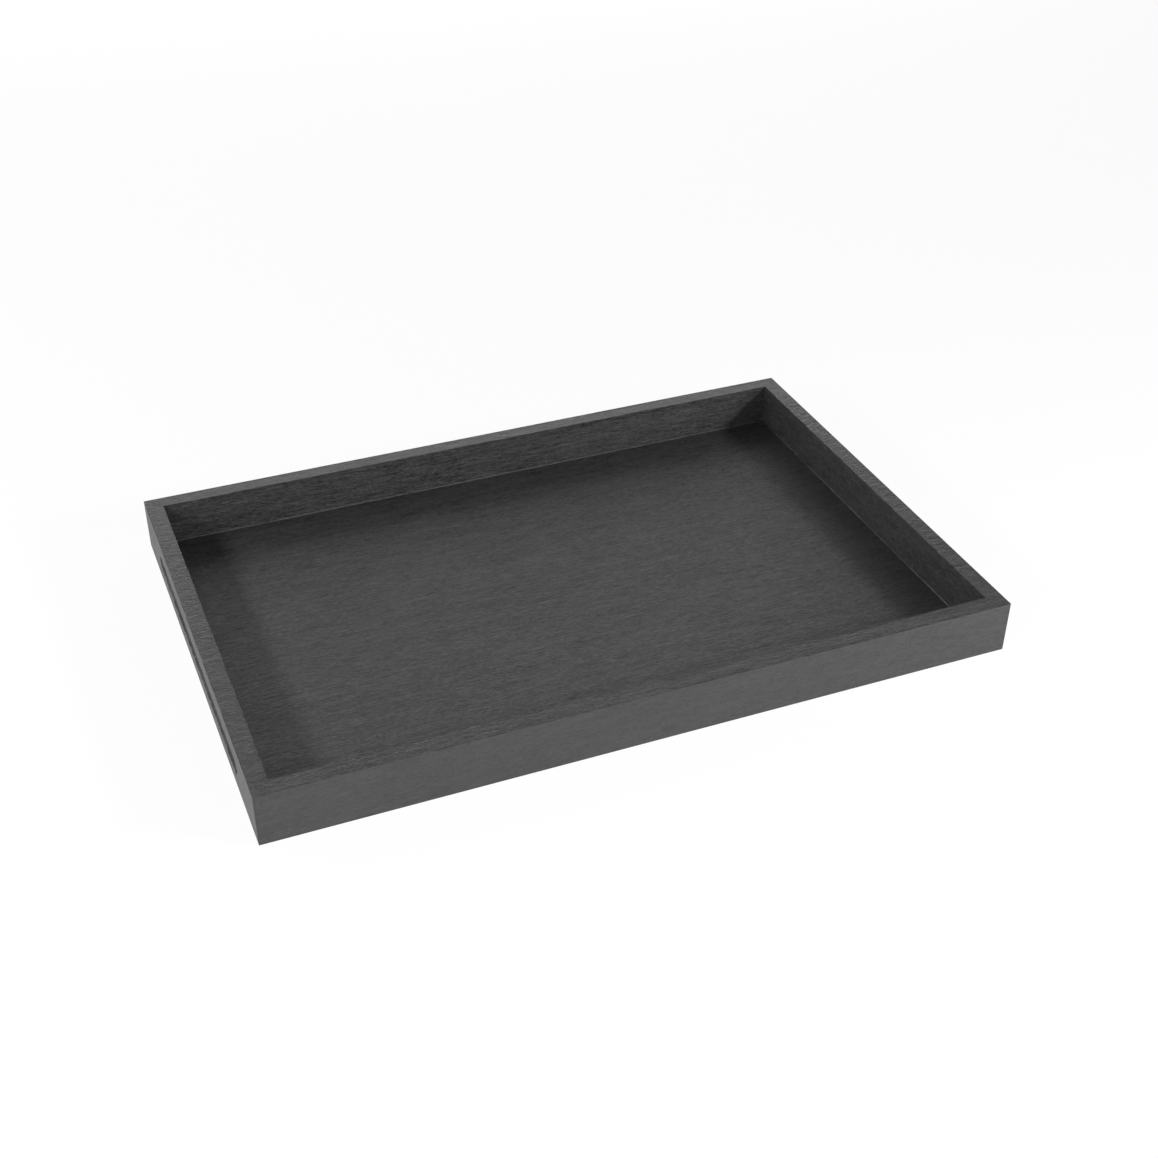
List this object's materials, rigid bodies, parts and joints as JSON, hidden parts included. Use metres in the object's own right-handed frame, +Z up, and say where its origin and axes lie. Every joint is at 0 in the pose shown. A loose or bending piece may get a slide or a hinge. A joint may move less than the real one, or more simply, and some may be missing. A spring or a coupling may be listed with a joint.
{
  "type": "serving tray",
  "caption": "Low rectangular wooden tray with mitred upright rails, a flat sunken floor and a long finger grip routed into each short end.",
  "frame": {"origin": "centre of the tray's footprint, on the table that it stands on", "axes": "+X along the long side, towards the right end; +Y towards the back; +Z up"},
  "size_m": [0.6, 0.4, 0.0445],
  "materials": {
    "stained_rail": "matte",
    "stained_floor": "matte",
    "bare_wood": "matte"
  },
  "bodies": {
    "root": {"front_rail": "stained_rail", "back_rail": "stained_rail", "left_rail": "stained_rail", "right_rail": "stained_rail", "floor_panel": "stained_floor", "spline_front_left": "bare_wood", "spline_front_right": "bare_wood", "spline_back_left": "bare_wood", "spline_back_right": "bare_wood"}
  },
  "joints": []
}
